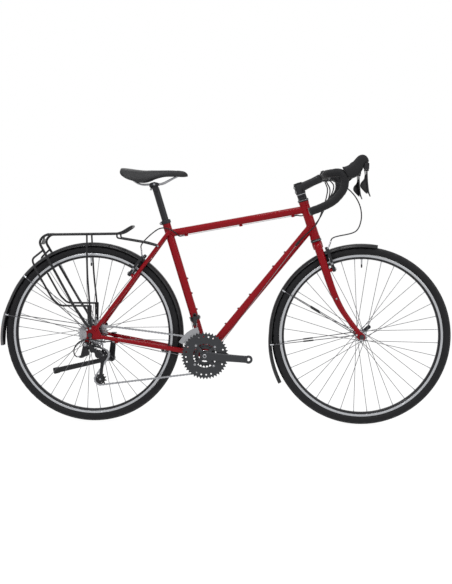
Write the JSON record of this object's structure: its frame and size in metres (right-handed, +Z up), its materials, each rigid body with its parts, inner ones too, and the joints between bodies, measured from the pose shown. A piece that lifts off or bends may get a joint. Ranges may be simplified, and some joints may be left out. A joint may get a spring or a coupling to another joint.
{
  "type": "touring bicycle",
  "caption": "Steel touring bicycle with drop bars, rim brakes, derailleur gears, mudguards, rear rack and kickstand; wheels, cranks, steering, gears, brakes, saddle and stand move.",
  "frame": {"origin": "on the ground, under the middle of the bicycle's length and in its middle plane", "axes": "+X forward along the ground, +Y to the rider's left, +Z up"},
  "size_m": [1.76, 0.4618, 1.0318],
  "materials": {
    "red_paint": "deep gloss red enamel",
    "black_paint": "satin black powder coat",
    "black_plastic": "semi-matt black plastic",
    "cable_housing": "smooth black cable housing",
    "tyre": "matt black tyre rubber",
    "bar_tape": "matt black wrapped handlebar tape",
    "hood_rubber": "matt black moulded rubber",
    "saddle_cover": "black fine-grained saddle cover",
    "black_alloy": "black anodised",
    "grey_alloy": "dark grey anodised",
    "polished_steel": "bright plated steel",
    "silver_alloy": "silver anodised"
  },
  "bodies": {
    "frame": {"frame": "red_paint", "seat_collar": "black_alloy", "bottom_bracket": "polished_steel", "rear_rack": "black_paint", "rear_mudguard": "black_plastic", "rear_axle": "polished_steel", "chain": "polished_steel", "kickstand_bracket": "black_alloy", "front_mech_band": "black_alloy", "rear_mech_knuckle": "black_alloy", "rear_brake_cable": "cable_housing", "front_gear_cable": "cable_housing", "rear_gear_cable": "cable_housing"},
    "steering": {"fork": "red_paint", "stem": "black_alloy", "handlebar": "black_alloy", "right_bar_tape": "bar_tape", "left_bar_tape": "bar_tape", "right_hood": "hood_rubber", "left_hood": "hood_rubber", "front_mudguard": "black_plastic", "front_axle": "polished_steel", "front_brake_cable": "cable_housing"},
    "front_wheel": {"front_tyre": "tyre", "front_rim": "black_alloy", "front_hub_and_spokes": "polished_steel"},
    "rear_wheel": {"rear_tyre": "tyre", "rear_rim": "black_alloy", "rear_hub_and_spokes": "polished_steel"},
    "cassette": {"cassette": "polished_steel"},
    "crankset": {"right_crank": "grey_alloy", "left_crank": "grey_alloy", "small_chainring": "grey_alloy", "middle_chainring": "grey_alloy", "large_chainring": "grey_alloy"},
    "rear_mech_outer_link": {"rear_mech_outer_link": "black_alloy"},
    "rear_mech_inner_link": {"rear_mech_inner_link": "black_alloy"},
    "rear_mech_tip": {"rear_mech_tip": "black_alloy"},
    "rear_mech_cage": {"rear_mech_cage": "black_alloy"},
    "guide_pulley": {"guide_pulley": "black_plastic"},
    "tension_pulley": {"tension_pulley": "black_plastic"},
    "front_mech_outer_link": {"front_mech_outer_link": "polished_steel"},
    "front_mech_inner_link": {"front_mech_inner_link": "polished_steel"},
    "front_mech_cage": {"front_mech_cage": "polished_steel"},
    "front_brake_right_arm": {"front_brake_right_arm": "black_alloy"},
    "front_brake_left_arm": {"front_brake_left_arm": "black_alloy"},
    "rear_brake_right_arm": {"rear_brake_right_arm": "black_alloy"},
    "rear_brake_left_arm": {"rear_brake_left_arm": "black_alloy"},
    "right_lever_block": {"right_lever_block": "black_alloy"},
    "left_lever_block": {"left_lever_block": "black_alloy"},
    "right_lever_blade": {"right_lever_blade": "black_alloy"},
    "left_lever_blade": {"left_lever_blade": "black_alloy"},
    "right_shift_paddle": {"right_shift_paddle": "black_plastic"},
    "left_shift_paddle": {"left_shift_paddle": "black_plastic"},
    "saddle": {"seatpost": "black_alloy", "saddle_rails": "polished_steel", "saddle": "saddle_cover"},
    "kickstand_leg": {"kickstand_leg": "black_alloy"}
  },
  "joints": [
    {"name": "steering", "type": "hinge", "parent": "frame", "child": "steering", "pos_m": [0.48466, 0, 0.32967], "axis": [-0.314, 0, 0.9494], "range_deg": [-60, 60], "deforming": ["front_brake_cable", "rear_brake_cable", "front_gear_cable", "rear_gear_cable"]},
    {"name": "front_wheel_spin", "type": "hinge", "parent": "steering", "child": "front_wheel", "pos_m": [0.53403, 0, 0.346], "axis": [0, 1, 0], "continuous": true},
    {"name": "rear_wheel_spin", "type": "hinge", "parent": "frame", "child": "rear_wheel", "pos_m": [-0.51297, 0, 0.346], "axis": [0, 1, 0], "continuous": true},
    {"name": "crank_spin", "type": "hinge", "parent": "frame", "child": "crankset", "pos_m": [-0.06877, 0, 0.268], "axis": [0, 1, 0], "continuous": true, "deforming": ["chain"]},
    {"name": "cassette_spin", "type": "hinge", "parent": "frame", "child": "cassette", "pos_m": [-0.51297, 0, 0.346], "axis": [0, 1, 0], "continuous": true, "deforming": ["chain"]},
    {"name": "rear_mech_swing", "type": "hinge", "parent": "frame", "child": "rear_mech_outer_link", "pos_m": [-0.51376, -0.09284, 0.3046], "axis": [0.5083, 0.4405, 0.74], "range_deg": [-36.4, 26.4], "deforming": ["chain", "rear_gear_cable"]},
    {"name": "rear_mech_inner_swing", "type": "hinge", "parent": "frame", "child": "rear_mech_inner_link", "pos_m": [-0.51701, -0.08117, 0.29988], "axis": [0.5083, 0.4405, 0.74], "range_deg": [-36.4, 26.4]},
    {"name": "rear_mech_tip_turn", "type": "hinge", "parent": "rear_mech_outer_link", "child": "rear_mech_tip", "pos_m": [-0.48409, -0.09284, 0.28422], "axis": [0.5083, 0.4405, 0.74], "range_deg": [-26.4, 36.4], "deforming": ["chain"]},
    {"name": "rear_mech_cage_pivot", "type": "hinge", "parent": "rear_mech_tip", "child": "rear_mech_cage", "pos_m": [-0.47641, -0.0433, 0.27256], "axis": [0, 1, 0], "range_deg": [-35, 25], "deforming": ["chain"]},
    {"name": "guide_pulley_spin", "type": "hinge", "parent": "rear_mech_cage", "child": "guide_pulley", "pos_m": [-0.46666, -0.0433, 0.26615], "axis": [0, 1, 0], "continuous": true, "deforming": ["chain"]},
    {"name": "tension_pulley_spin", "type": "hinge", "parent": "rear_mech_cage", "child": "tension_pulley", "pos_m": [-0.47857, -0.0433, 0.17056], "axis": [0, 1, 0], "continuous": true, "deforming": ["chain"]},
    {"name": "front_mech_swing", "type": "hinge", "parent": "frame", "child": "front_mech_outer_link", "pos_m": [-0.10877, -0.0342, 0.41562], "axis": [-1, 0, 0], "range_deg": [-14.8, 16.6], "deforming": ["chain"]},
    {"name": "front_mech_inner_swing", "type": "hinge", "parent": "frame", "child": "front_mech_inner_link", "pos_m": [-0.10877, -0.0258, 0.41239], "axis": [-1, 0, 0], "range_deg": [-14.8, 16.6], "deforming": ["front_gear_cable"]},
    {"name": "front_mech_cage_turn", "type": "hinge", "parent": "front_mech_outer_link", "child": "front_mech_cage", "pos_m": [-0.10877, -0.0442, 0.38961], "axis": [-1, 0, 0], "range_deg": [-16.6, 14.8], "deforming": ["chain"]},
    {"name": "right_brake_pull", "type": "hinge", "parent": "steering", "child": "right_lever_block", "pos_m": [0.5219, -0.205, 1.00012], "axis": [0, 1, 0], "range_deg": [0, 24]},
    {"name": "right_blade_shift", "type": "hinge", "parent": "right_lever_block", "child": "right_lever_blade", "pos_m": [0.5219, -0.205, 0.97527], "axis": [1, 0, 0], "range_deg": [0, 18]},
    {"name": "right_paddle_shift", "type": "hinge", "parent": "right_lever_blade", "child": "right_shift_paddle", "pos_m": [0.5219, -0.205, 0.97527], "axis": [1, 0, 0], "range_deg": [0, 12]},
    {"name": "left_brake_pull", "type": "hinge", "parent": "steering", "child": "left_lever_block", "pos_m": [0.5219, 0.205, 1.00012], "axis": [0, 1, 0], "range_deg": [0, 24]},
    {"name": "left_blade_shift", "type": "hinge", "parent": "left_lever_block", "child": "left_lever_blade", "pos_m": [0.5219, 0.205, 0.97527], "axis": [-1, 0, 0], "range_deg": [0, 18]},
    {"name": "left_paddle_shift", "type": "hinge", "parent": "left_lever_blade", "child": "left_shift_paddle", "pos_m": [0.5219, 0.205, 0.97527], "axis": [-1, 0, 0], "range_deg": [0, 12]},
    {"name": "front_brake_right_swing", "type": "hinge", "parent": "steering", "child": "front_brake_right_arm", "pos_m": [0.42546, -0.041, 0.60518], "axis": [0.9494, 0, 0.314], "range_deg": [-4, 0], "deforming": ["front_brake_cable"]},
    {"name": "front_brake_left_swing", "type": "hinge", "parent": "steering", "child": "front_brake_left_arm", "pos_m": [0.42546, 0.041, 0.60518], "axis": [0.9494, 0, 0.314], "range_deg": [0, 4]},
    {"name": "rear_brake_right_swing", "type": "hinge", "parent": "frame", "child": "rear_brake_right_arm", "pos_m": [-0.36211, -0.041, 0.58307], "axis": [-0.8043, 0, 0.5942], "range_deg": [0, 4], "deforming": ["rear_brake_cable"]},
    {"name": "rear_brake_left_swing", "type": "hinge", "parent": "frame", "child": "rear_brake_left_arm", "pos_m": [-0.36211, 0.041, 0.58307], "axis": [-0.8043, 0, 0.5942], "range_deg": [-4, 0]},
    {"name": "kickstand_fold", "type": "hinge", "parent": "frame", "child": "kickstand_leg", "pos_m": [-0.44911, 0.064, 0.24138], "axis": [0, -1, 0], "range_deg": [0, 60]},
    {"name": "seatpost_height", "type": "slide", "parent": "frame", "child": "saddle", "axis": [-0.2924, 0, 0.9563], "range_m": [-0.1, 0.06]}
  ],
  "couplings": [
    {"joint": "cassette_spin", "follows": "crank_spin", "ratio": 1.6},
    {"joint": "guide_pulley_spin", "follows": "crank_spin", "ratio": -2.9091},
    {"joint": "tension_pulley_spin", "follows": "crank_spin", "ratio": 2.9091},
    {"joint": "rear_mech_inner_swing", "follows": "rear_mech_swing", "ratio": 1},
    {"joint": "rear_mech_tip_turn", "follows": "rear_mech_swing", "ratio": -1},
    {"joint": "front_mech_inner_swing", "follows": "front_mech_swing", "ratio": 1},
    {"joint": "front_mech_cage_turn", "follows": "front_mech_swing", "ratio": -1},
    {"joint": "front_brake_right_swing", "follows": "right_brake_pull", "ratio": -0.16667},
    {"joint": "front_brake_left_swing", "follows": "right_brake_pull", "ratio": 0.16667},
    {"joint": "rear_brake_right_swing", "follows": "left_brake_pull", "ratio": 0.16667},
    {"joint": "rear_brake_left_swing", "follows": "left_brake_pull", "ratio": -0.16667}
  ]
}
